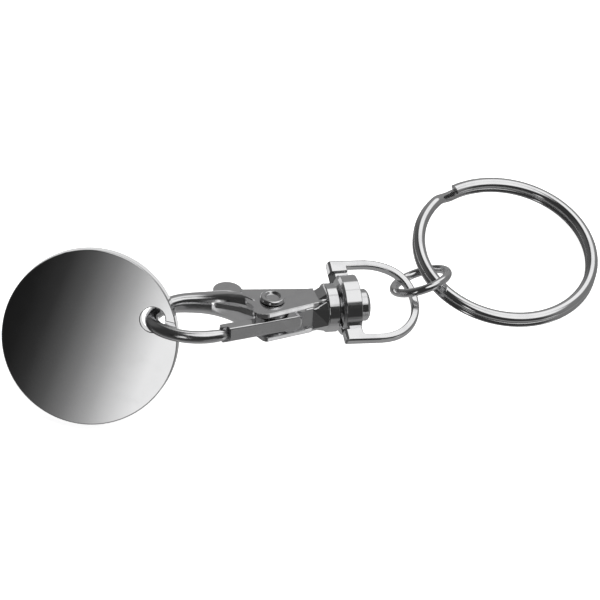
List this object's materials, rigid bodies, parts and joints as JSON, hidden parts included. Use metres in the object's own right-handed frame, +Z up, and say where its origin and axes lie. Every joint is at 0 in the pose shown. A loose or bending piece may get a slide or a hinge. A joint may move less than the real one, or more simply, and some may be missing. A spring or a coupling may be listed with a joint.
{
  "type": "trolley coin keyring",
  "caption": "Coin-sized chip on a trigger snap hook with a swivel eye, a jump ring and a double split ring.",
  "frame": {"origin": "bottom centre of the bounding box: the table under the middle of the keyring", "axes": "+X from the coin to the split ring, +Z up from the table"},
  "size_m": [0.0782, 0.0382, 0.018],
  "materials": {
    "coin_mirror": "polished nickel plate",
    "cast_plate": "nickel plate over die-cast zinc",
    "spring_steel": "drawn spring wire",
    "ring_plate": "nickel plate over steel wire"
  },
  "bodies": {
    "clasp": {"hook_body": "cast_plate", "lever_rivet": "cast_plate", "lever_spring": "spring_steel", "swivel_rivet": "cast_plate"},
    "lever": {"trigger_lever": "cast_plate"},
    "chip": {"coin": "coin_mirror"},
    "eye": {"swivel_eye": "cast_plate"},
    "link": {"jump_ring": "ring_plate"},
    "ring": {"split_ring": "ring_plate"}
  },
  "joints": [
    {"name": "trigger_pivot", "type": "hinge", "parent": "clasp", "child": "lever", "pos_m": [-0.0038, -0.00706, 0.00957], "axis": [0.0704, 0.356, 0.9318], "range_deg": [-22, 0], "stiffness_Nm_per_rad": 0.02, "springref_deg": 17.19, "deforming": ["lever_spring"]},
    {"name": "coin_swing", "type": "hinge", "parent": "clasp", "child": "chip", "pos_m": [-0.01915, -0.00923, 0.01155], "axis": [-0.128, -0.7075, 0.695], "range_deg": [-100, 55]},
    {"name": "swivel_spin", "type": "hinge", "parent": "clasp", "child": "eye", "pos_m": [0.00461, -0.00489, 0.0081], "axis": [0.9673, 0.2038, -0.1509], "continuous": true},
    {"name": "jump_ring_swing", "type": "hinge", "parent": "eye", "child": "link", "pos_m": [0.01397, -0.0006, 0.00661], "axis": [-0.4771, 0.8767, 0.0614], "range_deg": [-80, 80]},
    {"name": "split_ring_swing", "type": "hinge", "parent": "link", "child": "ring", "pos_m": [0.01707, 0.00114, 0.00656], "axis": [-0.4974, 0.8672, 0.0219], "range_deg": [-75, 75]}
  ]
}
